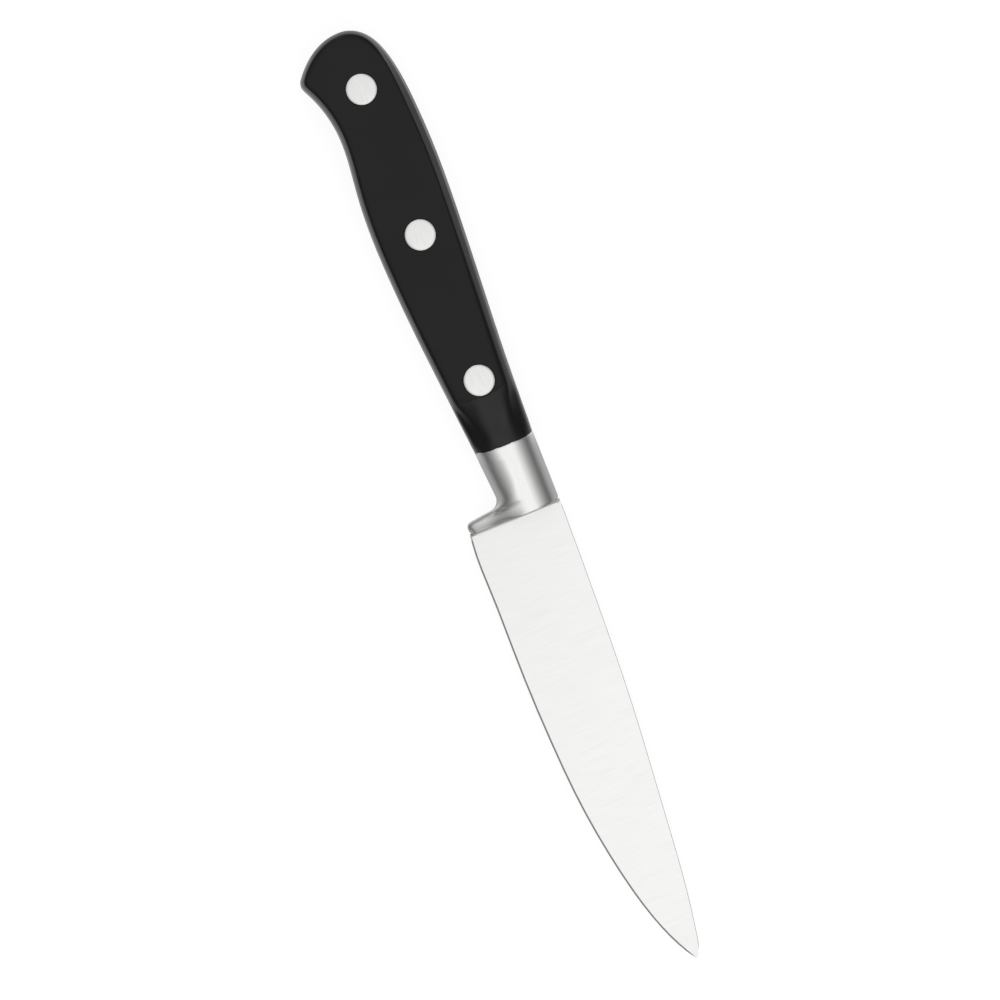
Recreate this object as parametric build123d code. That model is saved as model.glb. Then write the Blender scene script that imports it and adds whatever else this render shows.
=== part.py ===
from build123d import *
import os

# A forged paring knife with a full tang, in millimetres, laid on its left side.
# +X runs to the tip, +Y to the back of the blade, +Z out of the knife's right side.
# While it is built, x is 0 where the scales meet the bolster, y is 0 on the line of the
# rivets and z is 0 on the middle plane of the steel. Below, "behind" and "ahead" are
# distances from x = 0 towards the butt and towards the tip.

# Handle, side view
handle_length = 88.0
joint_height = 6.1        # line of rivets up to the back edge, at the bolster
joint_depth = 6.25        # line of rivets down to the belly edge, at the bolster
grind_height = 6.49       # the same two where the ground front starts
grind_depth = 7.08
crown_height = 9.25       # line of rivets up to the highest point of the back
beak_depth = 11.4         # down to the sharp corner of the beak, before it is rounded
beak_radius = 2.2
# back of the handle: share of its length behind the bolster, share of the crown's height
handle_back_shares = [
    (0.341, 0.832), (0.511, 0.938), (0.6875, 1.0), (0.7955, 0.969), (0.906, 0.8345), (0.977, 0.508),
]
# belly of the handle, from the beak forwards: share of its length, share of the beak's depth
handle_belly_shares = [(0.9193, 1.0), (0.778, 0.675), (0.659, 0.749), (0.523, 0.8105), (0.227, 0.693)]
butt_turn_shares = (0.983, 0.491)

# Handle, thickness and edges
handle_thickness = 13.6
tang_thickness = 2.0
back_rim_width = 1.8      # bevelled rim of the flat face, along the back
belly_rim_width = 1.05
butt_rim_width = 0.95
rim_depth = 4.3
front_grind_length = 10.1  # ground with the bolster into an oval

# Bolster
bolster_length = 14.3
bolster_thickness = 12.4
bolster_corner_radius = 5.1
bolster_back_height = 5.95
neck_depth = 5.3
root_fillet_radius = 1.1
front_edge_radius = 0.4

# Finger guard under the bolster
guard_depth = 13.15       # line of rivets down to the end of the guard
guard_root_width = 3.2    # along the knife, where it leaves the bolster
guard_end_width = 1.6
guard_end_thickness = 3.0
guard_waist_thickness = 4.2
guard_root_thickness = 9.8
guard_root_depth = 3.0
guard_waist_share = 0.493  # of the way from its root to its end
guard_corner_radius = 1.1
guard_edge_radius = 0.95
guard_throat_radius = 2.0

# Blade
blade_length = 95.0       # from the bolster's front to the tip
blade_back_height = 6.05
blade_depth = 14.03       # line of rivets down to the lowest point of the edge
tip_depth = 2.88
back_thickness = 1.9      # across the back at the bolster
tip_thickness = 0.4
edge_bevel_width = 0.35
edge_bevel_thickness = 0.24
# back of the blade: share of the blade's length, share of its drop to the tip
back_drop_shares = [
    (0.215, 0.077), (0.48, 0.235), (0.68, 0.437), (0.88, 0.672), (0.95, 0.797), (0.983, 0.888),
]
# edge: share of the blade's length, share of its rise from the lowest point to the tip
edge_rise_shares = [
    (0.047, 0.031), (0.15, 0.0225), (0.281, 0.002), (0.48, 0.0215), (0.615, 0.092),
    (0.748, 0.252), (0.848, 0.438), (0.916, 0.622), (0.972, 0.838),
]

# Rivets, each a tubular half pressed on to a solid half
rivet_count = 3
rivet_front_inset = 13.4
rivet_rear_inset = 12.3
rivet_head_diameter = 6.0
rivet_head_depth = 3.2
sleeve_diameter = 4.0
pin_diameter = 2.6
hole_clearance = 0.1      # on the diameter, round heads and sleeves
press_clearance = 0.02    # on the diameter, between pin and sleeve
end_clearance = 0.2       # between the sleeve's end and the other head
rivet_names = ["front", "middle", "rear"]

# Shares that shape the rim of the handle's face as two bevels: up its height, across its width
rim_level_shares = [0.0, 0.51, 1.0]
rim_inset_shares = [0.0, 0.28, 1.0]

overrun = 2.0             # how far cutting solids stand past what they cut
standing = (Align.CENTER, Align.CENTER, Align.MIN)
hanging = (Align.CENTER, Align.CENTER, Align.MAX)

half_handle = handle_thickness / 2
half_bolster = bolster_thickness / 2
half_tang = tang_thickness / 2
wall_top = half_handle - rim_depth
wall_x = bolster_length - root_fillet_radius / 2
tip_x = bolster_length + blade_length


def inward(curve, point):
    # unit vector across the curve, to the left of its run and so into the handle
    along = curve.tangent_at(curve.param_at_point(point))
    return Vector(-along.Y, along.X)


def handle_point(length_share, height):
    return Vector(-handle_length * length_share, height)


def handle_back(rim_share):
    # back of the handle, from the ground front to the butt, drawn in by a share of the rim
    points = [handle_point(along, up * crown_height) for along, up in handle_back_shares]
    points += [handle_point(1, 0)]
    start = Vector(-front_grind_length, grind_height)
    start_run = start - Vector(0, joint_height)
    outer = Spline(start, *points, tangents=[start_run, (0, -1)])
    widths = [back_rim_width] * 4 + [(back_rim_width + butt_rim_width) / 2] + [butt_rim_width] * 2
    inner = [p + inward(outer, p) * w * rim_share for p, w in zip(points, widths)]
    start_drop = Vector(0, -rim_share * back_rim_width)
    return Spline(start + start_drop, *inner, tangents=[start_run, (0, -1)])


def handle_outline(rim_share):
    # side view of the handle behind its ground front, drawn in by a share of the rim's width
    butt_rim = rim_share * butt_rim_width
    belly_rim = rim_share * belly_rim_width
    beak, *belly_points = [handle_point(along, -down * beak_depth) for along, down in handle_belly_shares]
    turn = handle_point(butt_turn_shares[0], -butt_turn_shares[1] * beak_depth)
    hollow = belly_points[0]
    butt_end = (beak - turn) + Vector(turn.Y - beak.Y, 0) / 2
    belly_start = (hollow - beak) + Vector(0, hollow.Y - beak.Y)
    # the inner corner keeps the same distance from both curves that meet at the beak
    across_butt = Vector(-butt_end.Y, butt_end.X).normalized()
    across_belly = Vector(-belly_start.Y, belly_start.X).normalized()
    mitre = (across_butt + across_belly) / (1 + across_butt.dot(across_belly))
    inner_beak = beak + mitre * butt_rim
    back = handle_back(rim_share)
    outer_butt = Spline(handle_point(1, 0), turn, beak, tangents=[(0, -1), butt_end])
    inner_turn = turn + inward(outer_butt, turn) * butt_rim
    butt = Spline(back @ 1, inner_turn, inner_beak, tangents=[(0, -1), butt_end])
    end = Vector(-front_grind_length, -grind_depth)
    end_run = Vector(0, -joint_depth) - end
    outer_belly = Spline(beak, *belly_points, end, tangents=[belly_start, end_run])
    belly_inner = [p + inward(outer_belly, p) * belly_rim for p in belly_points]
    belly_inner += [end + Vector(0, belly_rim)]
    belly = Spline(inner_beak, *belly_inner, tangents=[belly_start, end_run])
    outline = make_face([back, butt, belly, Line(belly @ 1, back @ 0)])
    corner = outline.vertices().sort_by_distance(inner_beak)[0]
    return fillet(corner, beak_radius - butt_rim)


def joint_section():
    # the oval that the scales, the tang and the bolster share at x = 0
    middle = (joint_height - joint_depth) / 2
    oval = RectangleRounded(joint_height + joint_depth, bolster_thickness, bolster_corner_radius)
    return Plane.YZ * Pos(middle, 0) * oval


def grind_edges():
    # half cross-section, above the tang, where the ground front starts: y is across the handle
    levels = [wall_top + level * rim_depth for level in rim_level_shares]
    rim = list(zip(rim_inset_shares, levels))
    back = [(grind_height - inset * back_rim_width, z) for inset, z in rim]
    belly = [(inset * belly_rim_width - grind_depth, z) for inset, z in rim]
    corners = [(grind_height, half_tang)] + back + belly[::-1] + [(-grind_depth, half_tang)]
    points = [(-front_grind_length, y, z) for y, z in corners]
    return [Line(a, b).edge() for a, b in zip(points, points[1:] + points[:1])]


def joint_edges():
    # half of the oval above the tang, with an arc at each corner for every band of the rim
    radius = bolster_corner_radius
    centre_z = half_bolster - radius
    band_count = len(rim_level_shares) - 1
    sweep = 90 / band_count
    back_centre = (joint_height - radius, centre_z)
    belly_centre = (radius - joint_depth, centre_z)
    back_arcs = [CenterArc(back_centre, radius, i * sweep, sweep) for i in range(band_count)]
    belly_arcs = [CenterArc(belly_centre, radius, 90 + i * sweep, sweep) for i in range(band_count)]
    back_wall = Line((joint_height, half_tang), back_arcs[0] @ 0)
    top = Line(back_arcs[-1] @ 1, belly_arcs[0] @ 0)
    belly_wall = Line(belly_arcs[-1] @ 1, (-joint_depth, half_tang))
    base = Line((-joint_depth, half_tang), (joint_height, half_tang))
    edges = [back_wall] + back_arcs + [top] + belly_arcs + [belly_wall, base]
    return [(Plane.YZ * e).edge() for e in edges]


def make_ground_front():
    # ruled from the bevelled section behind to the bolster's oval
    start, end = grind_edges(), joint_edges()
    faces = [make_face(start), make_face(end)]
    for a, b in zip(start, end):
        if b.geom_type == GeomType.LINE:
            faces.append(make_face(Polyline(a @ 0, a @ 1, b @ 1, b @ 0, close=True)))
        else:
            faces.append(Face.make_surface_from_curves(a, b))
    return Solid(Shell(faces))


def rivet_places():
    pitch = (handle_length - rivet_front_inset - rivet_rear_inset) / (rivet_count - 1)
    return [(-rivet_front_inset - i * pitch, 0) for i in range(rivet_count)]


def make_right_scale():
    # wall and bevelled rim behind, and a front ground to meet the bolster's oval
    rims = [Pos(0, 0, half_tang) * handle_outline(0)]
    for level, inset in zip(rim_level_shares, rim_inset_shares):
        rims.append(Pos(0, 0, wall_top + level * rim_depth) * handle_outline(inset))
    scale = loft(rims, ruled=True) + make_ground_front()
    for place in rivet_places():
        scale -= Pos(*place) * rivet_hole()
    return scale


def rivet_hole():
    # hole for the sleeve, with a counterbore for the head at each face
    hole = Cylinder((sleeve_diameter + hole_clearance) / 2, handle_thickness)
    bore_depth = rivet_head_depth + overrun
    bore = Cylinder((rivet_head_diameter + hole_clearance) / 2, bore_depth)
    bore_z = half_handle - rivet_head_depth + bore_depth / 2
    return hole + Pos(0, 0, bore_z) * bore + Pos(0, 0, -bore_z) * bore


def make_sleeve_half():
    # tubular half: its head lies flush in the left scale
    head_top = -half_handle + rivet_head_depth
    head = Cylinder(rivet_head_diameter / 2, rivet_head_depth, align=standing)
    tube_length = handle_thickness - 2 * rivet_head_depth - end_clearance
    tube = Cylinder(sleeve_diameter / 2, tube_length, align=standing)
    bore = Cylinder(pin_diameter / 2, tube_length, align=standing)
    return Pos(0, 0, -half_handle) * head + Pos(0, 0, head_top) * tube - Pos(0, 0, head_top) * bore


def make_post_half():
    # solid half: its head lies flush in the right scale and its pin fills the sleeve
    head_base = half_handle - rivet_head_depth
    head = Cylinder(rivet_head_diameter / 2, rivet_head_depth, align=standing)
    pin_length = handle_thickness - 2 * rivet_head_depth - end_clearance
    pin_radius = (pin_diameter - press_clearance) / 2
    pin = Cylinder(pin_radius, pin_length, align=hanging)
    return Pos(0, 0, head_base) * (head + pin)


def make_tang():
    front = Polyline(
        (0, joint_height),
        (-front_grind_length, grind_height),
        (-front_grind_length, -grind_depth),
        (0, -joint_depth),
        close=True,
    )
    rear = extrude(handle_outline(0), amount=half_tang, both=True)
    return rear + extrude(make_face(front), amount=half_tang, both=True)


def blade_half():
    # right half of the blade: a ruled flank from the back to the shoulder of the edge
    start_x = wall_x
    run = tip_x - start_x
    drop = blade_back_height + tip_depth
    rise = blade_depth - tip_depth
    half_back = back_thickness / 2
    half_tip = tip_thickness / 2
    half_shoulder = edge_bevel_thickness / 2
    tip = Vector(tip_x, -tip_depth, 0)
    tip_side = Vector(tip_x, -tip_depth, half_tip)
    back_points = [Vector(start_x, blade_back_height, 0)]
    back_points += [Vector(start_x + a * run, blade_back_height - d * drop, 0) for a, d in back_drop_shares]
    back_points += [tip]
    thinning = half_back - half_tip
    side_points = [p + Vector(0, 0, half_back - thinning * (p.X - start_x) / run) for p in back_points]
    edge_points = [Vector(start_x, -guard_depth, 0)]
    edge_points += [Vector(start_x + a * run, r * rise - blade_depth, 0) for a, r in edge_rise_shares]
    shoulder_points = [p + Vector(0, edge_bevel_width, half_shoulder) for p in edge_points]
    back_mid = Spline(*back_points)
    back_side = Spline(*side_points)
    edge = Spline(*edge_points, tip)
    shoulder = Spline(*shoulder_points, tip_side)
    heel = Polyline(back_mid @ 0, back_side @ 0, shoulder @ 0, edge @ 0, close=True)
    faces = [
        Face.make_surface_from_curves(back_side, shoulder),
        Face.make_surface_from_curves(back_mid, back_side),
        Face.make_surface_from_curves(shoulder, edge),
        Face(Wire([back_mid, edge, Line(edge @ 0, back_mid @ 0)])),
        Face(Wire(heel.edges())),
    ]
    return Solid(Shell(faces))


def make_blade_body():
    right = blade_half()
    return right + right.mirror(Plane.XY)


def make_neck():
    # oval body of the bolster, from the scales to its front wall
    height = bolster_back_height + neck_depth
    middle = (bolster_back_height - neck_depth) / 2
    oval = RectangleRounded(height, bolster_thickness, bolster_corner_radius)
    front = Plane.YZ.offset(wall_x) * Pos(middle, 0) * oval
    return loft([joint_section(), front])


def make_guard():
    # thin finger guard: its side view cut from a body that flares up to the bolster
    end_corner = (wall_x - guard_end_width, -guard_depth)
    side_view = Polyline(
        (wall_x, -guard_root_depth),
        (wall_x - guard_root_width, -guard_root_depth),
        end_corner,
        (wall_x, -guard_depth),
        close=True,
    )
    plan = make_face(side_view)
    plan = fillet(plan.vertices().sort_by_distance(end_corner)[0], guard_corner_radius)
    plate = extrude(plan, amount=bolster_thickness, both=True)
    waist_depth = guard_root_depth + guard_waist_share * (guard_depth - guard_root_depth)
    flank = Spline(
        (-guard_root_depth, guard_root_thickness / 2),
        (-waist_depth, guard_waist_thickness / 2),
        (-guard_depth, guard_end_thickness / 2),
    )
    top = Line((-guard_root_depth, 0), flank @ 0)
    end = Line(flank @ 1, (-guard_depth, 0))
    base = Line((-guard_depth, 0), (-guard_root_depth, 0))
    half_view = make_face([top, flank, end, base])
    front_view = half_view + mirror(half_view, about=Plane.XZ)
    guard = plate & extrude(Plane.YZ * front_view, amount=wall_x)
    # round the long edges of both flanks, but not where they meet the front wall or the neck
    flanks = [f for f in guard.faces() if abs(f.center().Z) > guard_end_thickness / 4]
    outer = [e for f in flanks for e in f.edges() if is_outer(e @ 0.5)]
    return fillet(outer, guard_edge_radius)


def is_outer(point):
    margin = front_edge_radius / 10
    return point.X < wall_x - margin and point.Y < -guard_root_depth - margin


def make_bolster():
    # neck and guard, blended in the throat where the finger rests
    neck = make_neck()
    guard = make_guard()
    body = neck + guard
    shared = [e for e in body.edges() if touches(neck, e @ 0.5) and touches(guard, e @ 0.5)]
    throat = [e for e in shared if is_outer(e @ 0.5)]
    body = fillet(throat, guard_throat_radius)
    front = body.faces().sort_by(Axis.X)[-1]
    return fillet(front.edges(), front_edge_radius)


def touches(solid, point):
    # whether the point lies on the solid's skin
    return min(f.distance_to(point) for f in solid.faces()) < front_edge_radius / 100


def root_section(y, flank_z):
    # concave corner between the bolster's front wall and the blade's flank
    radius = root_fillet_radius
    corner = Vector(wall_x, y, flank_z)
    top = corner + Vector(0, 0, radius)
    foot = corner + Vector(radius, 0, 0)
    centre = corner + Vector(radius, 0, radius)
    middle = centre + (corner - centre).normalized() * radius
    base = Polyline(foot, (foot.X, y, 0), (wall_x, y, 0), top)
    return Face(Wire([ThreePointArc(top, middle, foot)] + base.edges()))


def make_root_fillet(bolster):
    # kept inside the bolster's front view, and the same on both flanks
    at_back = root_section(blade_back_height, back_thickness / 2)
    at_edge = root_section(-guard_depth, edge_bevel_thickness / 2)
    right = loft([at_back, at_edge], ruled=True)
    front = bolster.faces().sort_by(Axis.X)[-1]
    return (right + mirror(right, about=Plane.XY)) & extrude(front, amount=root_fillet_radius)


def make_forging():
    # blade, bolster, finger guard and tang are one piece of steel
    bolster = make_bolster()
    return make_tang() + bolster + make_root_fillet(bolster) + make_blade_body()


def build_parts():
    right_scale = make_right_scale()
    forging = make_forging()
    for place in rivet_places():
        forging -= Pos(*place) * rivet_hole()
    parts = {
        "blade": forging,
        "right_scale": right_scale,
        "left_scale": mirror(right_scale, about=Plane.XY),
    }
    for name, place in zip(rivet_names, rivet_places()):
        parts[name + "_rivet_sleeve"] = Pos(*place) * make_sleeve_half()
        parts[name + "_rivet_post"] = Pos(*place) * make_post_half()
    return parts


def export_parts(parts):
    # the origin goes under the middle of the knife as it lies on its left scale
    boxes = [solid.bounding_box() for solid in parts.values()]
    left = min(box.min.X for box in boxes)
    right = max(box.max.X for box in boxes)
    front = min(box.min.Y for box in boxes)
    back = max(box.max.Y for box in boxes)
    bottom = min(box.min.Z for box in boxes)
    shift = Pos(-(left + right) / 2, -(front + back) / 2, -bottom)
    for name, solid in parts.items():
        export_step(shift * solid, "parts/" + name + ".step")


os.makedirs("parts", exist_ok=True)
export_parts(build_parts())
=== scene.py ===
import cmath
import math

import bmesh
import bpy
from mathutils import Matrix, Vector, kdtree


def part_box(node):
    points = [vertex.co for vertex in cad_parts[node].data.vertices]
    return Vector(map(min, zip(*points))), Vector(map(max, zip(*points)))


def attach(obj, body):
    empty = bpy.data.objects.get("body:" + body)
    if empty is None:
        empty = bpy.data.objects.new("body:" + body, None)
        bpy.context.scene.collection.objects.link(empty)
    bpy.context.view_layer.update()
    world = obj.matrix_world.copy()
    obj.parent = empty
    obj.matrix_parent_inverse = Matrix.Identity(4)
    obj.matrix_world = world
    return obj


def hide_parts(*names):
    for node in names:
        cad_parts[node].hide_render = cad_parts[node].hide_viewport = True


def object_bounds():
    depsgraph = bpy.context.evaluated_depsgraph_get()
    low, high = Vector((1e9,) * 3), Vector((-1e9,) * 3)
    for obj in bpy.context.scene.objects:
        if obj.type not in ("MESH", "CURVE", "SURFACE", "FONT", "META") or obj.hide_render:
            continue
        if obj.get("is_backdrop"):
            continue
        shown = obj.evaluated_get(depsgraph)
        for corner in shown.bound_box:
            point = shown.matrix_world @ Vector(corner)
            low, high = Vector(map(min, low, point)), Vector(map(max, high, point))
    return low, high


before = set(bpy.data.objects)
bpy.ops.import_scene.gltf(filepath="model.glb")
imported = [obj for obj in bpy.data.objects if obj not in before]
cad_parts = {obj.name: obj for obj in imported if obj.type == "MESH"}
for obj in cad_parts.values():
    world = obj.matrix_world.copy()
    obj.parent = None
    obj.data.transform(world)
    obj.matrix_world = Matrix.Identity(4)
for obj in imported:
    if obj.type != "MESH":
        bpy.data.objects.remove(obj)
cadLow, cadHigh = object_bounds()
mm = 0.001

# what the CAD says: where the scales meet the bolster, the plane between the two sides of the
# knife, and the line of the rivets
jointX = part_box("right_scale")[1].x
middleZ = (cadLow.z + cadHigh.z) / 2
rivetPlaces = []
for name in ("front", "middle", "rear"):
    low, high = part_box(name + "_rivet_post")
    rivetPlaces.append(Vector(((low.x + high.x) / 2, (low.y + high.y) / 2, middleZ)))
axisY = rivetPlaces[0].y


def linearColour(hexText):
    # sRGB hex to the linear values that a shader takes
    parts = [int(hexText[i:i + 2], 16) / 255 for i in (1, 3, 5)]
    return [p / 12.92 if p <= 0.04045 else ((p + 0.055) / 1.055) ** 2.4 for p in parts] + [1.0]


def addNode(tree, kind, settings=None, inputs=None, links=None):
    # one node with its settings, its fixed inputs, and what feeds its other inputs
    node = tree.nodes.new(kind)
    for name, value in (settings or {}).items():
        setattr(node, name, value)
    for name, value in (inputs or {}).items():
        node.inputs[name].default_value = value
    for name, source in (links or {}).items():
        tree.links.new(source, node.inputs[name])
    return node


def newMaterial(name):
    material = bpy.data.materials.new(name)
    material.use_nodes = True
    material.node_tree.nodes.clear()
    return material, material.node_tree


def linkPiece(name, mesh):
    piece = bpy.data.objects.new(name, mesh)
    bpy.context.scene.collection.objects.link(piece)
    return piece


# camera: it looks straight down on the knife's right side and is turned by two known points

cameraValues = {
    "rivetPixel": (361.4, 89.35),        # centre of the rivet nearest the butt, from the top left
    "tipPixel": (697.2, 958.1),
    "imageSide": 1000,
    "distance": 3000 * mm,               # far off, so the knife is drawn with little perspective
    "sensor": 36.0,
    "clipEnd": 100.0,
}


def imagePoint(pixel, values):
    half = values["imageSide"] / 2
    return complex(pixel[0] - half, half - pixel[1])


def makeCamera(values):
    rivetLow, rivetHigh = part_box("rear_rivet_post")
    rivet = complex((rivetLow.x + rivetHigh.x) / 2, (rivetLow.y + rivetHigh.y) / 2)
    tip = max((v.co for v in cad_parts["blade"].data.vertices), key=lambda co: co.x)
    # the rivet's head is nearer the camera than the tip is, so it is drawn this much larger
    nearer = values["distance"] / (values["distance"] - (rivetHigh.z - middleZ))
    rivetImage = imagePoint(values["rivetPixel"], values) / nearer
    tipImage = imagePoint(values["tipPixel"], values)
    # one complex factor turns and scales the knife's plan on to the image
    turn = (tipImage - rivetImage) / (complex(tip.x, tip.y) - rivet)
    centre = rivet - rivetImage / turn
    data = bpy.data.cameras.new("camera")
    data.sensor_width = values["sensor"]
    data.lens = values["sensor"] * values["distance"] * abs(turn) / values["imageSide"]
    data.clip_end = values["clipEnd"]
    camera = bpy.data.objects.new("camera", data)
    camera.location = (centre.real, centre.imag, middleZ + values["distance"])
    camera.rotation_euler = (0.0, 0.0, -cmath.phase(turn))
    bpy.context.scene.collection.objects.link(camera)
    bpy.context.scene.camera = camera
    bpy.context.scene.view_settings.view_transform = "Standard"


# light: a bright patch of sky overhead that falls off to dark walls, and a white floor with a
# painted glow close to the knife that only reflections see

studioValues = {
    "boxSize": 300 * mm,
    "boxCentre": (110 * mm, -10 * mm, 700 * mm),
    "boxRadiance": 0.30,
    "skyStretch": (0.20, 1.0, 1.0),      # the patch is longer along the knife than across it
    "skyCentre": (0.06, 0.01, 1.0),
    # how light the sky is, by the cosine of the angle from the middle of the patch
    "skySteps": [(0.0, 0.07), (0.07, 0.08), (0.276, 0.14), (0.454, 0.22), (0.602, 0.31),
                 (0.725, 0.42), (0.829, 0.56), (0.906, 0.74), (0.961, 0.90), (1.0, 0.97)],
    "floorSize": 6.0,
    "paperColour": "#BCBCBC",            # the paper as it lights the knife
    "seenColour": "#8A8A8A",             # and as the camera sees it: its shadow and its glow
    "seenGlow": 0.88,
    # painted glow: close to the knife the floor gives off light that only reflections see, so it
    # mirrors brightest in the knife, more so on the side of its back
    "glow": 0.45,
    "glowMiddle": 5 * mm,
    "glowFade": (10 * mm, 55 * mm),
    "endShare": 0.3,                     # less of it beyond the butt
    "endFade": (-120 * mm, -96 * mm),
    "steelShare": 0.35,                  # and beside the steel, measured from the joint
    "steelFade": (-1 * mm, 3 * mm),
}


def makeSky(values):
    world = bpy.data.worlds.new("studioSky")
    bpy.context.scene.world = world
    world.use_nodes = True
    tree = world.node_tree
    tree.nodes.clear()
    direction = addNode(tree, "ShaderNodeTexCoord").outputs["Generated"]
    stretched = addNode(tree, "ShaderNodeVectorMath", {"operation": "MULTIPLY"},
                        {1: values["skyStretch"]}, {0: direction})
    unit = addNode(tree, "ShaderNodeVectorMath", {"operation": "NORMALIZE"},
                   links={0: stretched.outputs["Vector"]})
    centre = addNode(tree, "ShaderNodeVectorMath", {"operation": "DOT_PRODUCT"},
                     {1: Vector(values["skyCentre"]).normalized()}, {0: unit.outputs["Vector"]})
    ramp = addNode(tree, "ShaderNodeValToRGB", links={"Fac": centre.outputs["Value"]})
    elements = ramp.color_ramp.elements
    while len(elements) < len(values["skySteps"]):
        elements.new(0.5)
    for element, (place, level) in zip(elements, values["skySteps"]):
        element.position = place
        element.color = (level, level, level, 1.0)
    sky = addNode(tree, "ShaderNodeBackground", links={"Color": ramp.outputs["Color"]})
    white = addNode(tree, "ShaderNodeBackground", inputs={"Color": (1, 1, 1, 1), "Strength": 1.0})
    path = addNode(tree, "ShaderNodeLightPath")
    mixed = addNode(tree, "ShaderNodeMixShader", links={
        "Fac": path.outputs["Is Camera Ray"], 1: sky.outputs[0], 2: white.outputs[0]})
    addNode(tree, "ShaderNodeOutputWorld", links={"Surface": mixed.outputs[0]})


def makeSoftbox(values):
    data = bpy.data.lights.new("overheadSoftbox", "AREA")
    data.shape = "DISK"
    data.size = values["boxSize"]
    # an area lamp of radiance L and area A gives pi * L * A watts
    data.energy = math.pi * values["boxRadiance"] * math.pi * (values["boxSize"] / 2) ** 2
    lamp = bpy.data.objects.new("overheadSoftbox", data)
    lamp.location = values["boxCentre"]
    lamp.rotation_euler = (-lamp.location).to_track_quat("-Z", "Y").to_euler()
    bpy.context.scene.collection.objects.link(lamp)


def makeFloor(values):
    half = values["floorSize"] / 2
    mesh = bpy.data.meshes.new("floor")
    corners = [(-half, -half), (half, -half), (half, half), (-half, half)]
    mesh.from_pydata([(x, y, cadLow.z) for x, y in corners], [], [(0, 1, 2, 3)])
    floor = linkPiece("floor", mesh)
    # white paper sweep: plain and white with a faint shadow as the camera sees it; in the knife's
    # reflections it has a painted glow that fades away from the knife
    material, tree = newMaterial("whitePaperWithPaintedGlow")
    path = addNode(tree, "ShaderNodeLightPath")
    place = addNode(tree, "ShaderNodeSeparateXYZ", links={
        "Vector": addNode(tree, "ShaderNodeTexCoord").outputs["Object"]})
    shifted = addNode(tree, "ShaderNodeMath", {"operation": "SUBTRACT"},
                      {1: values["glowMiddle"]}, {0: place.outputs["Y"]})
    aside = addNode(tree, "ShaderNodeMath", {"operation": "ABSOLUTE"},
                    links={0: shifted.outputs[0]})
    steelFrom, steelTo = (jointX + distance for distance in values["steelFade"])
    # painted glow for reflections only: strongest beside the knife, fading with distance from it,
    # beyond the butt and beside the steel
    fades = [(aside.outputs[0], *values["glowFade"], values["glow"], 0.0),
             (place.outputs["X"], *values["endFade"], values["endShare"], 1.0),
             (place.outputs["X"], steelFrom, steelTo, 1.0, values["steelShare"])]
    paintedGlowStrength = path.outputs["Is Glossy Ray"]
    for source, start, end, atStart, atEnd in fades:
        fade = addNode(tree, "ShaderNodeMapRange", {"interpolation_type": "SMOOTHSTEP"}, {
            "From Min": start, "From Max": end, "To Min": atStart, "To Max": atEnd},
            {"Value": source})
        paintedGlowStrength = addNode(tree, "ShaderNodeMath", {"operation": "MULTIPLY"}, links={
            0: fade.outputs["Result"], 1: paintedGlowStrength}).outputs[0]
    paper = addNode(tree, "ShaderNodeBsdfDiffuse", inputs={
        "Color": linearColour(values["paperColour"])})
    paintedGlowEmission = addNode(tree, "ShaderNodeEmission", inputs={"Color": (1, 1, 1, 1)},
                    links={"Strength": paintedGlowStrength})
    lit = addNode(tree, "ShaderNodeAddShader", links={0: paper.outputs[0], 1: paintedGlowEmission.outputs[0]})
    faint = addNode(tree, "ShaderNodeBsdfDiffuse", inputs={
        "Color": linearColour(values["seenColour"])})
    white = addNode(tree, "ShaderNodeEmission", inputs={
        "Color": (1, 1, 1, 1), "Strength": values["seenGlow"]})
    seen = addNode(tree, "ShaderNodeAddShader", links={0: faint.outputs[0], 1: white.outputs[0]})
    mixed = addNode(tree, "ShaderNodeMixShader", links={
        "Fac": path.outputs["Is Camera Ray"], 1: lit.outputs[0], 2: seen.outputs[0]})
    addNode(tree, "ShaderNodeOutputMaterial", links={"Surface": mixed.outputs[0]})
    mesh.materials.append(material)
    floor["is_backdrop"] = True


makeCamera(cameraValues)
makeSky(studioValues)
makeSoftbox(studioValues)
makeFloor(studioValues)
print("scene: camera, light and floor are in place")


# materials: sizes are in millimetres, and a ground line has one along X, Y and Z

noiseSpan = (0.3, 0.7)                   # most values of a noise texture lie between these


def addSurface(tree, values, pattern, polish, shaderInputs):
    # colour and relief follow the pattern, and roughness follows the polish
    dull = addNode(tree, "ShaderNodeMapRange", inputs={
        "From Min": noiseSpan[0], "From Max": noiseSpan[1],
        "To Min": values["roughness"] - values["roughnessSpread"],
        "To Max": values["roughness"] + values["roughnessSpread"]}, links={"Value": polish})
    # the mix takes its colours at sockets 6 and 7, and gives one at output 2
    tint = addNode(tree, "ShaderNodeMix", {"data_type": "RGBA"}, {
        6: linearColour(values["colour"]), 7: linearColour(values["darkColour"])},
        {"Factor": pattern})
    relief = addNode(tree, "ShaderNodeBump", inputs={
        "Strength": values["relief"], "Distance": values["depth"] * mm},
        links={"Height": pattern})
    surface = addNode(tree, "ShaderNodeBsdfPrincipled", inputs=shaderInputs, links={
        "Base Color": tint.outputs[2], "Roughness": dull.outputs["Result"],
        "Normal": relief.outputs["Normal"]})
    addNode(tree, "ShaderNodeOutputMaterial", links={"Surface": surface.outputs[0]})


def steelMaterial(name, values):
    # grinding leaves fine parallel lines: they catch the light in slightly different strengths
    material, tree = newMaterial(name)
    stretched = addNode(tree, "ShaderNodeMapping", {"vector_type": "POINT"},
                        {"Scale": [1 / (size * mm) for size in values["lineSize"]]},
                        {"Vector": addNode(tree, "ShaderNodeTexCoord").outputs["Object"]})
    lines = addNode(tree, "ShaderNodeTexNoise", inputs={
        "Scale": 1.0, "Detail": 3.0, "Roughness": 0.6},
        links={"Vector": stretched.outputs["Vector"]}).outputs["Fac"]
    addSurface(tree, values, lines, lines, {"Metallic": 1.0})
    return material


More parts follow.
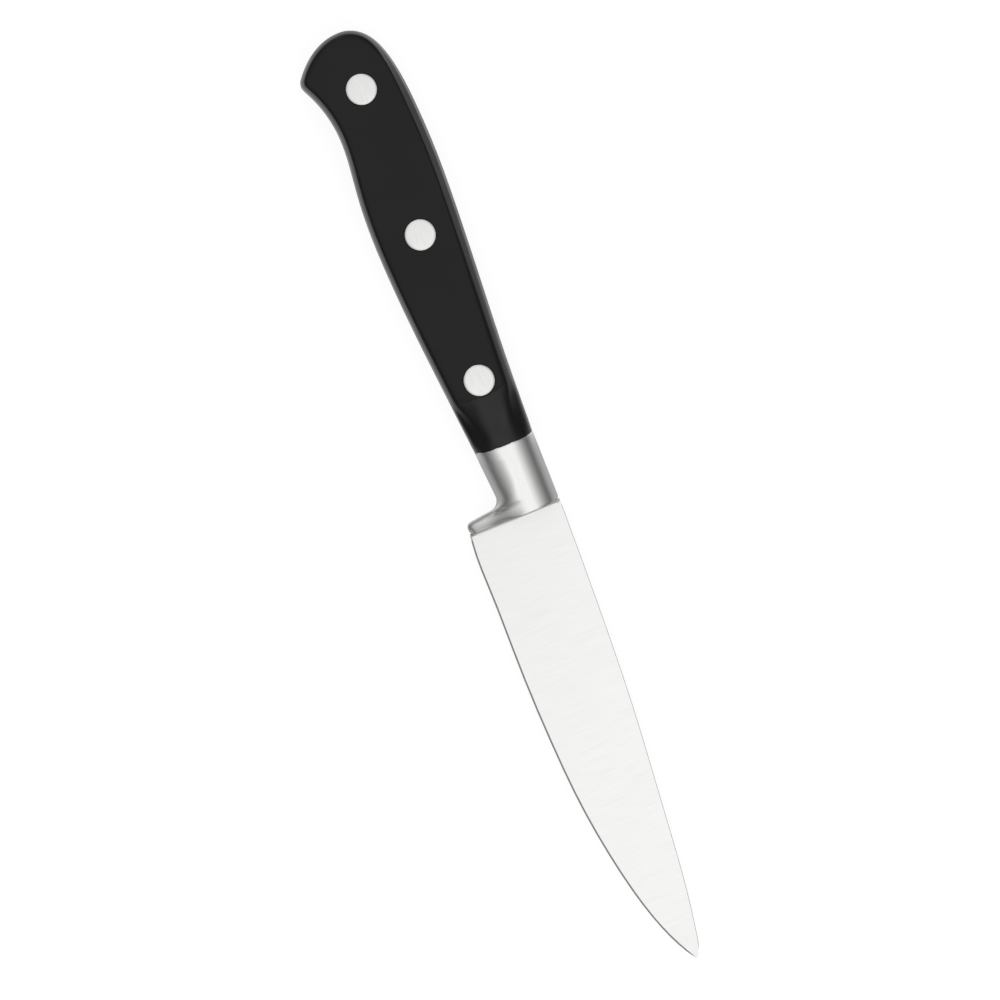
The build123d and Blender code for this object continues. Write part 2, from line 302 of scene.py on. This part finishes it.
def plasticMaterial(name, values):
    # hard black thermoplastic: the mould leaves a fine even grain, buffing takes it off the edges
    material, tree = newMaterial(name)
    place = addNode(tree, "ShaderNodeTexCoord").outputs["Object"]
    grain, cloud = (
        addNode(tree, "ShaderNodeTexNoise", inputs={"Scale": 1 / (size * mm), "Detail": 2.0},
                links={"Vector": place}).outputs["Fac"]
        for size in (values["grainSize"], values["cloudSize"]))
    addSurface(tree, values, grain, cloud, {"IOR": values["ior"]})
    return material


# satin stainless blade: ground across its width with a fine belt, so near white with faint lines
bladeFinish = steelMaterial("groundStainlessBlade", {
    "colour": "#EFEFEE", "darkColour": "#E8E8E7", "roughness": 0.30, "roughnessSpread": 0.02,
    "lineSize": (0.22, 8.0, 8.0), "depth": 0.004, "relief": 0.08})
# polished stainless bolster: buffed along its length, softer and darker than the blade
bolsterFinish = steelMaterial("buffedStainlessBolster", {
    "colour": "#F4F4F3", "darkColour": "#EBEBEA", "roughness": 0.31, "roughnessSpread": 0.03,
    "lineSize": (7.0, 0.25, 0.25), "depth": 0.004, "relief": 0.12})
# honed cutting edge: a steep narrow bevel that mirrors the dark walls, and painted shade: its
# steel is set darker than the blade's
paintedShadeEdgeFinish = steelMaterial("honedEdgeWithPaintedShade", {
    "colour": "#BCBCBC", "darkColour": "#A4A4A4", "roughness": 0.26, "roughnessSpread": 0.04,
    "lineSize": (0.2, 3.0, 3.0), "depth": 0.004, "relief": 0.3})
# rivet heads: ground flush with the scales, so flat, satin and a little greyer than the blade
rivetFinish = steelMaterial("flushGroundRivetSteel", {
    "colour": "#F0F0EF", "darkColour": "#E4E4E3", "roughness": 0.32, "roughnessSpread": 0.04,
    "lineSize": (3.0, 0.2, 3.0), "depth": 0.003, "relief": 0.12})
# scale faces: moulded black acetal with a fine matt grain
faceFinish = plasticMaterial("mouldedBlackAcetal", {
    "colour": "#101010", "darkColour": "#0A0A0A", "roughness": 0.47, "roughnessSpread": 0.03,
    "ior": 1.37, "grainSize": 0.25, "depth": 0.006, "cloudSize": 9.0, "relief": 0.25})
# scale edges: the same plastic after buffing, which leaves it shinier
rimFinish = plasticMaterial("buffedBlackAcetal", {
    "colour": "#101010", "darkColour": "#0A0A0A", "roughness": 0.27, "roughnessSpread": 0.04,
    "ior": 1.56, "grainSize": 0.4, "depth": 0.003, "cloudSize": 6.0, "relief": 0.2})
# scale fronts: ground down to the bolster and lightly buffed, so between the two
frontFinish = plasticMaterial("groundBlackAcetal", {
    "colour": "#101010", "darkColour": "#0A0A0A", "roughness": 0.38, "roughnessSpread": 0.04,
    "ior": 1.45, "grainSize": 0.3, "depth": 0.005, "cloudSize": 4.0, "relief": 0.25})
print("scene: materials are made")


# shared mesh work

weldDistance = 0.002 * mm                # corners of the CAD's triangles this close are one
planeSlack = 0.0005 * mm                 # a corner this close to a cutting plane is on it


def mergedCopy(nodeName, pieceName):
    # the CAD node's own surface, with its loose triangles joined up
    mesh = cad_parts[nodeName].data.copy()
    mesh.name = pieceName
    mesh.materials.clear()
    work = bmesh.new()
    work.from_mesh(mesh)
    bmesh.ops.remove_doubles(work, verts=work.verts, dist=weldDistance)
    work.to_mesh(mesh)
    work.free()
    return linkPiece(pieceName, mesh)


def cutAcross(work, place, direction=1.0, clear=False):
    everything = work.verts[:] + work.edges[:] + work.faces[:]
    bmesh.ops.bisect_plane(work, geom=everything, dist=planeSlack, plane_co=(place, 0, 0),
                           plane_no=(direction, 0, 0), clear_inner=clear)


def keepOneSide(piece, place, direction):
    # keeps what lies in front of a plane across the knife (1) or behind it (-1), and closes it
    work = bmesh.new()
    work.from_mesh(piece.data)
    cutAcross(work, place, direction, clear=True)
    bmesh.ops.holes_fill(work, edges=[e for e in work.edges if e.is_boundary], sides=0)
    work.to_mesh(piece.data)
    work.free()


def bakeModifiers(piece):
    graph = bpy.context.evaluated_depsgraph_get()
    baked = bpy.data.meshes.new_from_object(piece.evaluated_get(graph), depsgraph=graph)
    piece.modifiers.clear()
    piece.vertex_groups.clear()
    piece.data = baked


def evenMesh(piece, voxel):
    remesh = piece.modifiers.new("evenMesh", "REMESH")
    remesh.mode = "VOXEL"
    remesh.voxel_size = voxel
    bakeModifiers(piece)


def softenForm(piece, rounds, weightAt, heightOnly=False):
    # smooths more or less from place to place; by height only, the side view keeps its outline
    group = piece.vertex_groups.new(name="softness")
    for vertex in piece.data.vertices:
        weight = weightAt(vertex.co)
        if weight > 0:
            group.add([vertex.index], weight, "REPLACE")
    smooth = piece.modifiers.new("soften", "SMOOTH")
    smooth.factor = 0.5
    smooth.iterations = rounds
    smooth.vertex_group = "softness"
    smooth.use_x = smooth.use_y = not heightOnly
    bakeModifiers(piece)


def shadeByAngle(piece, degrees, farDegrees=None, farFrom=None):
    # smooth, but sharp where faces meet at more than an angle, which may be less from farFrom on
    work = bmesh.new()
    work.from_mesh(piece.data)
    for face in work.faces:
        face.smooth = True
    for edge in work.edges:
        far = farFrom is not None and max(v.co.x for v in edge.verts) > farFrom
        limit = math.radians(farDegrees if far else degrees)
        edge.smooth = edge.is_manifold and edge.calc_face_angle() < limit
    work.to_mesh(piece.data)
    work.free()


def rise(value, start, end):
    # 0 at start, 1 at end and a smooth rise between
    share = min(max((value - start) / (end - start), 0.0), 1.0)
    return share * share * (3 - 2 * share)


def addPiece(piece, slotName, *nodeNames):
    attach(piece, "root")
    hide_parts(*nodeNames)


# joint: the line between bolster and scales swells forward in its middle

jointValues = {
    "bulge": 0.7 * mm,
    "swell": (1.0 * mm, 6.0 * mm),       # half thicknesses between which it grows
    "reach": 3.0 * mm,                   # how far along the scales it is felt
}


def bulgeJoint(scale, values):
    for vertex in scale.data.vertices:
        co = vertex.co
        near = 1 - rise(abs(co.x - jointX), 0.0, values["reach"])
        co.x += values["bulge"] * near * rise(abs(co.z - middleZ), *values["swell"])


# forging: blade, bolster with its finger guard, and the tang between the scales

forgingValues = {
    "bolsterLength": 14.3 * mm,
    "outlineMargin": 3.0 * mm,           # the CAD's edges are read this far around it
    "ringStep": 0.08 * mm,
    "ringPoints": 90,                    # from the back to the belly, on each side
    "ringInset": 0.002 * mm,             # first and last ring, to be inside the CAD's walls
    "bellyParts": 12,                    # points on the belly between two rings
    "creaseAngle": 60,
    # neck, next to the scales: half thickness, and the round of its flanks
    "neckHeight": 6.2 * mm,
    "neckRadius": 5.1 * mm,
    # throat, where the belly leaves the neck: it gets this steep, this far from the joint
    "throatSlope": 0.2,
    "throatAfter": 5.0 * mm,
    "throatRadius": 3.2 * mm,
    # guard: half thickness against the depth below the rivets' line, both in millimetres
    "guardHeights": [(0.0, 6.2), (2.0, 6.08), (3.0, 5.88), (4.4, 5.31), (5.6, 4.66), (6.3, 4.29),
                     (7.1, 3.93), (7.9, 3.66), (8.7, 3.45), (10.3, 3.1), (11.6, 2.8), (13.2, 2.4)],
    "guardRadius": 1.0 * mm,
    "blend": (6.0 * mm, 12.0 * mm),      # the neck turns into the guard between these
    "turn": (0.0, 3.0 * mm),             # and its round gets tighter, along the belly
    "leastWall": 0.45 * mm,              # what a round leaves standing below it
    "leastHalf": 0.15 * mm,
    # front: the guard falls away from a crest, and the last part is drawn over the root's hollow
    "crestToWall": 1.8 * mm,
    "frontDrop": 1.0 * mm,
    "frontDepth": (1.5 * mm, 5.5 * mm),  # below the rivets' line, where it starts to fall
    "frontRound": 0.7 * mm,
    "frontStretch": 1.3 * mm,
    "frontGrow": 0.62 * mm,
    # stub that reaches under the scales
    "stubReach": 0.5 * mm,
    "stubInset": 0.25 * mm,
    # rounds of smoothing that even out the hollow, clear of both ends and of the outline
    "settleRounds": 160,
    "settleEnds": (2.0 * mm, 0.5 * mm),
    "settleAside": (0.7 * mm, 1.6 * mm),
    "settleDepth": (1.0 * mm, 3.0 * mm),
    # blade and tang
    "filletReach": 1.3 * mm,             # from the bolster's front to the end of the root's hollow
    "cutInset": 0.01 * mm,
    "rootCrease": 24,
    "bladeCrease": 4,
    "tangCrease": 30,
    "edgeTilt": (7.0, 45.0),             # faces tilted this far are the honed edge
    # the two edges of the blade's back are eased up to where the tip gets thin
    "spineEase": 0.13 * mm,
    "spineAngle": 50,
    "spineLeastHalf": 0.15 * mm,
    "spineToTip": 1.5 * mm,
    "spineSlack": 0.001 * mm,
    "spineProfile": 0.6,
    "spineSegments": 5,
}


def alongTable(table, value):
    # smooth curve through a table's points
    if value <= table[0][0]:
        return table[0][1]
    if value >= table[-1][0]:
        return table[-1][1]
    i = max(k for k in range(len(table) - 1) if table[k][0] <= value)
    (x0, y0), (x1, y1) = table[i], table[i + 1]

    def slope(k):
        if k in (0, len(table) - 1):
            return 0.0
        return (table[k + 1][1] - table[k - 1][1]) / (table[k + 1][0] - table[k - 1][0])

    t = (value - x0) / (x1 - x0)
    a, b = slope(i) * (x1 - x0), slope(i + 1) * (x1 - x0)
    return (y0 * (2 * t ** 3 - 3 * t ** 2 + 1) + a * (t ** 3 - 2 * t ** 2 + t)
            + y1 * (3 * t ** 2 - 2 * t ** 3) + b * (t ** 3 - t ** 2))


def roundDrop(distance, radius):
    # how far a rounded edge has fallen below the face beside it
    if distance >= radius:
        return 0.0
    inset = radius - max(distance, 0.0)
    return radius - math.sqrt(max(radius * radius - inset * inset, 0.0))


def readOutline(source, places, fromX, toX):
    # lowest and highest point of the forging in each plane across the knife
    corners = [vertex.co.copy() for vertex in source.data.vertices]
    edges = [[corners[i] for i in edge.vertices] for edge in source.data.edges]
    edges = [(p, q) for p, q in edges if fromX < min(p.x, q.x) and max(p.x, q.x) < toX]
    outline = []
    for place in places:
        hits = [p.y + (q.y - p.y) * (place - p.x) / (q.x - p.x) for p, q in edges
                if (p.x - place) * (q.x - place) <= 0 and p.x != q.x]
        outline.append((min(hits), max(hits)))
    return outline


def followBelly(line, values):
    # says how far along the belly a point's nearest place is, from the throat, and how far away
    runs = list(zip(line, line[1:]))
    lengths = [0.0]
    for (x0, y0), (x1, y1) in runs:
        lengths.append(lengths[-1] + math.hypot(x1 - x0, y1 - y0))
    throat = next(length for length, ((x0, y0), (x1, y1)) in zip(lengths, runs)
                  if x0 > jointX + values["throatAfter"]
                  and y0 - y1 > values["throatSlope"] * (x1 - x0))
    parts = values["bellyParts"]
    tree = kdtree.KDTree(len(line) * parts)
    for i, ((x0, y0), (x1, y1)) in enumerate(runs):
        for k in range(parts):
            tree.insert((x0 + (x1 - x0) * k / parts, y0 + (y1 - y0) * k / parts, 0),
                        i * parts + k)
    tree.balance()

    def nearest(x, y):
        index, aside = tree.find((x, y, 0))[1:]
        i, k = divmod(index, parts)
        return lengths[i] + (lengths[i + 1] - lengths[i]) * k / parts - throat, aside

    return nearest


def makeBolster(values, source):
    wallX = jointX + values["bolsterLength"]
    count = round(values["bolsterLength"] / values["ringStep"])
    places = [jointX + values["bolsterLength"] * i / count for i in range(count + 1)]
    places[0] += values["ringInset"]
    places[-1] -= values["ringInset"]
    outline = readOutline(source, places, jointX - values["outlineMargin"],
                          wallX + values["outlineMargin"])
    nearest = followBelly([(x, low) for x, (low, high) in zip(places, outline)], values)

    def height(x, y, back):
        # half thickness at a point of the side view
        along, aside = nearest(x, y)
        depth = axisY - y
        toWall = wallX - x
        share = rise(x - jointX, *values["blend"])
        top = values["neckHeight"] * (1 - share) + share * alongTable(
            values["guardHeights"], depth / mm) * mm
        turned = rise(along, *values["turn"])
        radius = values["neckRadius"] * (1 - share) + values["throatRadius"] * share
        radius = radius * (1 - turned) + values["guardRadius"] * turned
        radius = min(radius, top - values["leastWall"])
        front = rise(depth, *values["frontDepth"]) * values["frontDrop"] * max(
            1 - toWall / values["crestToWall"], 0.0) ** 2
        return (top - roundDrop(aside, radius) - roundDrop(back - y, values["neckRadius"])
                - front - roundDrop(toWall, values["frontRound"]))

    # rings across the knife, each down one side and up the other, with the stub's ring first
    low, high = outline[0]
    outline.insert(0, (low + values["stubInset"], high - values["stubInset"]))
    places.insert(0, jointX - values["stubReach"])
    count += 1
    points, faces = [], []
    for x, (low, high) in zip(places, outline):
        lowered = values["stubInset"] if x < jointX else 0.0
        ring = []
        for k in range(values["ringPoints"]):
            share = (1 - math.cos(math.pi * k / (values["ringPoints"] - 1))) / 2
            y = high + (low - high) * share
            ring.append((y, max(height(x, y, high) - lowered, values["leastHalf"])))
        points += [(x, y, middleZ + z) for y, z in ring]
        points += [(x, y, middleZ - z) for y, z in reversed(ring)]
    size = 2 * values["ringPoints"]
    for i in range(count):
        for k in range(size):
            a, b = i * size + k, i * size + (k + 1) % size
            faces.append((a, b, b + size, a + size))
    faces.append(tuple(range(size - 1, -1, -1)))
    faces.append(tuple(count * size + k for k in range(size)))
    mesh = bpy.data.meshes.new("bolsterAndGuard")
    mesh.from_pydata(points, [], faces)
    bolster = linkPiece("bolsterAndGuard", mesh)
    work = bmesh.new()
    work.from_mesh(mesh)
    bmesh.ops.recalc_face_normals(work, faces=work.faces)
    work.to_mesh(mesh)
    work.free()

    def inHollow(co):
        clearBack, clearFront = values["settleEnds"]
        if co.x < jointX + clearBack or wallX - co.x < clearFront:
            return 0.0
        aside = nearest(co.x, co.y)[1]
        return rise(aside, *values["settleAside"]) * rise(axisY - co.y, *values["settleDepth"])

    softenForm(bolster, values["settleRounds"], inHollow, heightOnly=True)
    shadeByAngle(bolster, values["creaseAngle"])
    for vertex in bolster.data.vertices:
        co = vertex.co
        bulge = rise(abs(co.z - middleZ), *jointValues["swell"])
        grown = rise(wallX - co.x, values["frontStretch"], 0.0)
        co.x += jointValues["bulge"] * bulge * (1 - grown) + values["frontGrow"] * grown
    bolster.data.materials.append(bolsterFinish)
    addPiece(bolster, "blade_steel", "blade")


def easeSpine(blade, values, fromX):
    work = bmesh.new()
    work.from_mesh(blade.data)
    toX = max(v.co.x for v in work.verts) - values["spineToTip"]
    for place in (fromX, toX):
        cutAcross(work, place)

    def onSpine(edge):
        if not edge.is_manifold or edge.calc_face_angle() < math.radians(values["spineAngle"]):
            return False
        slack = values["spineSlack"]
        return all(fromX - slack < v.co.x < toX + slack
                   and abs(v.co.z - middleZ) > values["spineLeastHalf"] for v in edge.verts)

    spine = [edge for edge in work.edges if onSpine(edge)]
    bmesh.ops.bevel(work, geom=spine, offset=values["spineEase"], offset_type="OFFSET",
                    profile=values["spineProfile"], segments=values["spineSegments"],
                    affect="EDGES", clamp_overlap=False)
    bmesh.ops.dissolve_degenerate(work, edges=work.edges, dist=planeSlack)
    work.to_mesh(blade.data)
    work.free()


def makeForging(values):
    wallX = jointX + values["bolsterLength"]
    rootEnd = wallX + values["filletReach"]
    blade = mergedCopy("blade", "groundBlade")
    makeBolster(values, blade)
    keepOneSide(blade, wallX - values["cutInset"], 1.0)
    easeSpine(blade, values, rootEnd)
    shadeByAngle(blade, values["rootCrease"], values["bladeCrease"], rootEnd)
    blade.data.materials.append(bladeFinish)
    blade.data.materials.append(paintedShadeEdgeFinish)
    # the honed edge's faces take the second finish, whose darker colour is painted shade
    least, most = values["edgeTilt"]
    for face in blade.data.polygons:
        tilt = math.degrees(math.acos(min(abs(face.normal.z), 1.0)))
        if least < tilt < most and face.center.x >= rootEnd:
            face.material_index = 1
    addPiece(blade, "blade_steel", "blade")

    tang = mergedCopy("blade", "tangStrip")
    keepOneSide(tang, jointX - values["cutInset"], -1.0)
    shadeByAngle(tang, values["tangCrease"])
    tang.data.materials.append(bolsterFinish)
    addPiece(tang, "blade_steel", "blade")


# scales: flat faces with a buffed rim, crisp along the back, which rounds off along the belly,
# round the butt and towards the bolster

scaleValues = {
    "voxel": 0.22 * mm,
    "creaseAngle": 50,
    # how much the form is smoothed: along the back, the belly and round the butt
    "rounds": 70,
    "softBack": 0.012,
    "softBelly": 0.50,
    "softEnd": 1.0,
    "endFade": (3.5 * mm, 8.5 * mm),     # beyond the last rivet
    "softFront": 1.0,
    "frontFade": (12 * mm, 62 * mm),     # behind the joint
    "softRivet": 0.02,                   # share that is left round the rivets
    "rivetFade": (3.5 * mm, 5.0 * mm),
    "jointKeep": 0.05 * mm,              # nothing is smoothed this near to the joint
    "tangKeep": 1.1 * mm,                # or to the middle, where the tang lies
    # steeper faces are rim, and faces that look forward this far are the ground front
    "rimTilt": 33.0,
    "groundTilt": 1.6,
    "groundReach": 11 * mm,
    # towards the bolster the flat face falls away beside its middle
    "dome": 1.5 * mm,
    "domeMiddle": 0.3 * mm,              # from the line of the rivets towards the back
    "domeFlat": 1.6 * mm,
    "domeReach": 3.9 * mm,
    "domeRound": 0.5,                    # share of the reach that is round, then an even slope
    "domeStart": (0.0, 2.5 * mm),        # behind the joint
    "domeEnd": (8.0 * mm, 12.5 * mm),
    "domeHold": (3.0 * mm, 6.5 * mm),    # half thicknesses between which it takes hold
}


def domeFront(scale, values):
    for vertex in scale.data.vertices:
        co = vertex.co
        behind = jointX - co.x
        share = rise(behind, *values["domeStart"]) * (1 - rise(behind, *values["domeEnd"]))
        beside = abs(co.y - axisY - values["domeMiddle"]) - values["domeFlat"]
        out = max(beside, 0.0) / values["domeReach"]
        bend = values["domeRound"]
        fall = out ** 2 if out < bend else 2 * bend * out - bend ** 2
        hold = rise(abs(co.z - middleZ), *values["domeHold"])
        co.z -= math.copysign(values["dome"] * share * fall * hold, co.z - middleZ)


def makeScale(side, values):
    scale = mergedCopy(side + "_scale", side + "Scale")
    outward = 1 if side == "right" else -1

    def softness(co):
        if co.x > jointX - values["jointKeep"] or abs(co.z - middleZ) < values["tangKeep"]:
            return 0.0
        weight = values["softBack"] + (values["softFront"] - values["softBack"]) * (
            1 - rise(jointX - co.x, *values["frontFade"])) ** 2
        if co.y < axisY:
            weight = max(weight, values["softBelly"])
        weight = max(weight, values["softEnd"] * rise(
            rivetPlaces[-1].x - co.x, *values["endFade"]))
        apart = min(math.hypot(co.x - p.x, co.y - p.y) for p in rivetPlaces)
        kept = values["softRivet"]
        return weight * (kept + (1 - kept) * rise(apart, *values["rivetFade"]))

    evenMesh(scale, values["voxel"])
    softenForm(scale, values["rounds"], softness)
    shadeByAngle(scale, values["creaseAngle"])
    for finish in (faceFinish, rimFinish, frontFinish):
        scale.data.materials.append(finish)
    leastForward = math.sin(math.radians(values["groundTilt"]))
    for face in scale.data.polygons:
        tilt = math.degrees(math.acos(min(max(face.normal.z * outward, -1.0), 1.0)))
        if tilt > values["rimTilt"]:
            face.material_index = 1
        elif face.center.x > jointX - values["groundReach"] and face.normal.x > leastForward:
            face.material_index = 2
    domeFront(scale, values)
    bulgeJoint(scale, jointValues)
    addPiece(scale, "scale_plastic", side + "_scale")


# rivets: three through the scales, a head at each end and a shank between

rivetValues = {
    "headDiameter": 6.2 * mm,
    "headThickness": 3.0 * mm,
    "crown": 0.05 * mm,                  # how far the face falls from its middle to its rim
    "edgeRound": 0.10 * mm,
    "edgePower": 30,                     # the higher, the closer the round keeps to the rim
    "shankDiameter": 4.0 * mm,
    "headSides": 72,
    "headCircles": 14,
    "shankSides": 48,
    "creaseAngle": 40,
}


def makeRivets(values):
    sizes = {"Head Diameter": values["headDiameter"], "Head Thickness": values["headThickness"],
             "Crown": values["crown"], "Edge Round": values["edgeRound"],
             "Shank Diameter": values["shankDiameter"], "Length": cadHigh.z - cadLow.z}
    tree = bpy.data.node_groups.new("flushRivets", "GeometryNodeTree")
    tree.interface.new_socket("Geometry", in_out="INPUT", socket_type="NodeSocketGeometry")
    sockets = {label: tree.interface.new_socket(
        label, in_out="INPUT", socket_type="NodeSocketFloat").identifier for label in sizes}
    tree.interface.new_socket("Geometry", in_out="OUTPUT", socket_type="NodeSocketGeometry")
    given = addNode(tree, "NodeGroupInput").outputs
    place = addNode(tree, "ShaderNodeSeparateXYZ", links={
        "Vector": addNode(tree, "GeometryNodeInputPosition").outputs[0]}).outputs
    known = {label: given[label] for label in sizes}
    known.update({axis: place[axis] for axis in "XYZ"})
    # each step: its name, how it is worked out, and from which numbers, sizes or earlier steps
    steps = [
        ("head radius", "DIVIDE", "Head Diameter", 2),
        ("x squared", "POWER", "X", 2),
        ("y squared", "POWER", "Y", 2),
        ("sum", "ADD", "x squared", "y squared"),
        ("from axis", "SQRT", "sum"),
        ("out", "DIVIDE", "from axis", "head radius"),
        ("out squared", "POWER", "out", 2),
        ("crown fall", "MULTIPLY", "out squared", "Crown"),
        ("near rim", "POWER", "out", values["edgePower"]),
        ("rim fall", "MULTIPLY", "near rim", "Edge Round"),
        ("fall", "ADD", "crown fall", "rim fall"),
        ("on face", "GREATER_THAN", "Z", 0),
        ("face fall", "MULTIPLY", "fall", "on face"),
        ("offset", "MULTIPLY", "face fall", -1),
        ("half length", "DIVIDE", "Length", 2),
        ("half head", "DIVIDE", "Head Thickness", 2),
        ("lift", "SUBTRACT", "half length", "half head"),
        ("sink", "MULTIPLY", "lift", -1),
        ("shank radius", "DIVIDE", "Shank Diameter", 2),
        ("shank length", "SUBTRACT", "Length", "Head Thickness"),
    ]
    for name, operation, *terms in steps:
        fixed = {i: term for i, term in enumerate(terms) if not isinstance(term, str)}
        linked = {i: known[term] for i, term in enumerate(terms) if isinstance(term, str)}
        known[name] = addNode(tree, "ShaderNodeMath", {"operation": operation},
                              fixed, linked).outputs[0]

    disc = addNode(tree, "GeometryNodeMeshCylinder", {"fill_type": "TRIANGLE_FAN"}, {
        "Vertices": values["headSides"], "Side Segments": 1,
        "Fill Segments": values["headCircles"]},
        {"Radius": known["head radius"], "Depth": known["Head Thickness"]})
    offset = addNode(tree, "ShaderNodeCombineXYZ", links={"Z": known["offset"]})
    head = addNode(tree, "GeometryNodeSetPosition", links={
        "Geometry": disc.outputs["Mesh"], "Offset": offset.outputs[0]})
    parts = addNode(tree, "GeometryNodeJoinGeometry")
    for level, turn in (("lift", 0.0), ("sink", math.pi)):
        moved = addNode(tree, "ShaderNodeCombineXYZ", links={"Z": known[level]})
        placed = addNode(tree, "GeometryNodeTransform", inputs={"Rotation": (turn, 0, 0)},
                         links={"Geometry": head.outputs[0], "Translation": moved.outputs[0]})
        tree.links.new(placed.outputs[0], parts.inputs[0])
    shank = addNode(tree, "GeometryNodeMeshCylinder", inputs={"Vertices": values["shankSides"]},
                    links={"Radius": known["shank radius"], "Depth": known["shank length"]})
    tree.links.new(shank.outputs["Mesh"], parts.inputs[0])
    copies = addNode(tree, "GeometryNodeInstanceOnPoints", links={
        "Points": given["Geometry"], "Instance": parts.outputs[0]})
    whole = addNode(tree, "GeometryNodeRealizeInstances", links={"Geometry": copies.outputs[0]})
    dressed = addNode(tree, "GeometryNodeSetMaterial", inputs={"Material": rivetFinish},
                      links={"Geometry": whole.outputs[0]})
    addNode(tree, "NodeGroupOutput", links={0: dressed.outputs[0]})

    seeds = bpy.data.meshes.new("flushRivets")
    seeds.from_pydata([tuple(p) for p in rivetPlaces], [], [])
    rivets = linkPiece("flushRivets", seeds)
    modifier = rivets.modifiers.new("rivetTree", "NODES")
    modifier.node_group = tree
    for label, size in sizes.items():
        modifier[sockets[label]] = size
    bakeModifiers(rivets)
    shadeByAngle(rivets, values["creaseAngle"])
    addPiece(rivets, "rivet_steel", *[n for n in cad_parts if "rivet" in n])


makeForging(forgingValues)
print("scene: blade, bolster and tang are made")
for side in ("right", "left"):
    makeScale(side, scaleValues)
print("scene: scales are made")
makeRivets(rivetValues)
print("scene: rivets are made")

low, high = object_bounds()
